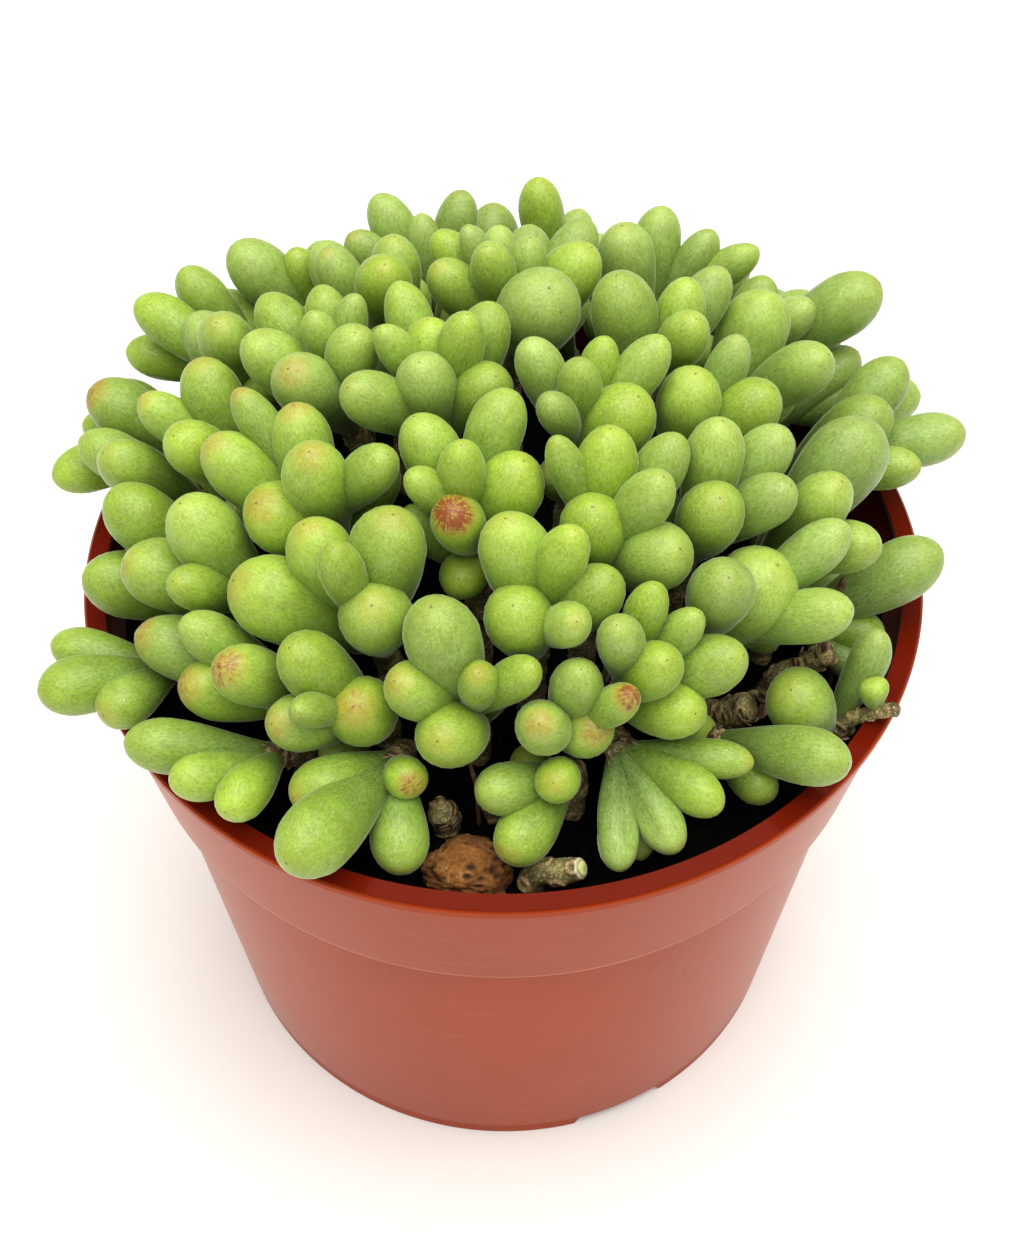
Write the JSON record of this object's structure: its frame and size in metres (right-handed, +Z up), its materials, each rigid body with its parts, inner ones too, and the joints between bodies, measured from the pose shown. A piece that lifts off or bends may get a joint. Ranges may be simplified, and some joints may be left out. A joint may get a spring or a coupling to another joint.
{
  "type": "potted dragon egg succulent",
  "caption": "Succulent with a crowded dome of egg-shaped leaves on short stems, in soil in a round tapering plastic nursery pot.",
  "frame": {"origin": "on the ground, under the middle of the whole plant's box", "axes": "+Z up along the pot's axis, -Y towards the open front of the plant, where soil and a pebble show"},
  "size_m": [0.165, 0.1531, 0.1656],
  "materials": {
    "pot_plastic": "satin brick-red moulded polypropylene with faint scuffs",
    "soil": "loose dark potting soil",
    "stone": "rough pitted lava pebble",
    "bark": "dull, with leaf scars",
    "leaf": "smooth waxy skin with a pale bloom and blushed tips"
  },
  "bodies": {
    "root": {"pot": "pot_plastic", "soil": "soil", "stone": "stone", "bare_stem_1": "bark", "bare_stem_2": "bark", "bare_stem_3": "bark", "bare_stem_4": "bark", "bare_stem_5": "bark", "leafy_stem_01": "leaf", "leafy_stem_02": "leaf", "leafy_stem_03": "leaf", "leafy_stem_04": "leaf", "leafy_stem_05": "leaf", "leafy_stem_06": "leaf", "leafy_stem_07": "leaf", "leafy_stem_08": "leaf", "leafy_stem_09": "leaf", "leafy_stem_10": "leaf", "leafy_stem_11": "leaf", "leafy_stem_12": "leaf", "leafy_stem_13": "leaf", "leafy_stem_14": "leaf", "leafy_stem_15": "leaf", "leafy_stem_16": "leaf", "leafy_stem_17": "leaf", "leafy_stem_18": "leaf", "leafy_stem_19": "leaf", "leafy_stem_20": "leaf", "leafy_stem_21": "leaf", "leafy_stem_22": "leaf", "leafy_stem_23": "leaf", "leafy_stem_24": "leaf", "leafy_stem_25": "leaf", "leafy_stem_26": "leaf", "leafy_stem_27": "leaf", "leafy_stem_28": "leaf", "leafy_stem_29": "leaf", "leafy_stem_30": "leaf", "leafy_stem_31": "leaf", "leafy_stem_32": "leaf", "leafy_stem_33": "leaf", "leafy_stem_34": "leaf", "leafy_stem_35": "leaf", "leafy_stem_36": "leaf", "leafy_stem_37": "leaf", "leafy_stem_38": "leaf", "leafy_stem_39": "leaf", "leafy_stem_40": "leaf", "leafy_stem_41": "leaf", "leafy_stem_42": "leaf", "leafy_stem_43": "leaf", "leafy_stem_44": "leaf", "leafy_stem_45": "leaf", "leafy_stem_46": "leaf", "leafy_stem_47": "leaf"}
  },
  "joints": []
}
